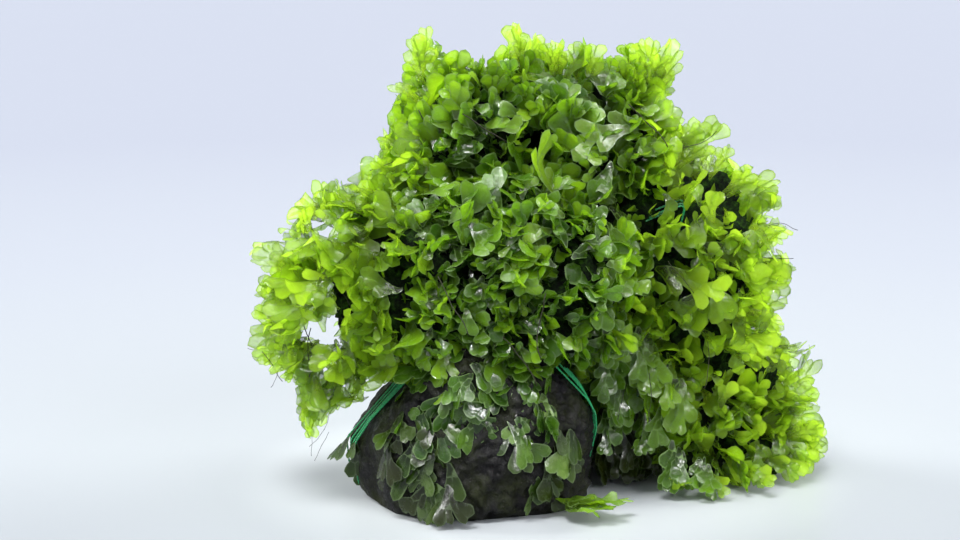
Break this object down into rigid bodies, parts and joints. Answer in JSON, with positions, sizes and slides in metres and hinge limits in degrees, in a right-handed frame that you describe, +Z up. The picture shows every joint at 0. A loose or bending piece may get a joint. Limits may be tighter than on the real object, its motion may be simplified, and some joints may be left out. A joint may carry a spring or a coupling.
{
  "type": "monosolenium tenerum liverwort clump tied to a stone",
  "caption": "Mounded clump of forked ribbon thalli of an aquarium liverwort, tied with green thread over a dark craggy stone that it stands on.",
  "frame": {"origin": "middle of the whole clump's underside, on the surface that the stone stands on", "axes": "+Z up, +X along the clump's longest side towards the lobe that hangs down to the surface, -Y towards the front, where the stone shows"},
  "size_m": [0.1448, 0.1004, 0.1157],
  "materials": {
    "stone": "wet, dark and porous, with thin green film",
    "thread": "twisted emerald green sewing thread, wet",
    "thallus": "wet, glossy, see-through green plant tissue, yellow-green where light comes through"
  },
  "bodies": {
    "root": {"stone": "stone", "front_thread": "thread", "rear_thread": "thread", "crown_left_cushion": "thallus", "crown_right_cushion": "thallus", "left_cushion": "thallus", "right_cushion": "thallus", "skirt_cushion": "thallus", "front_cushion": "thallus", "rear_cushion": "thallus", "trailing_sprig": "thallus"}
  },
  "joints": []
}
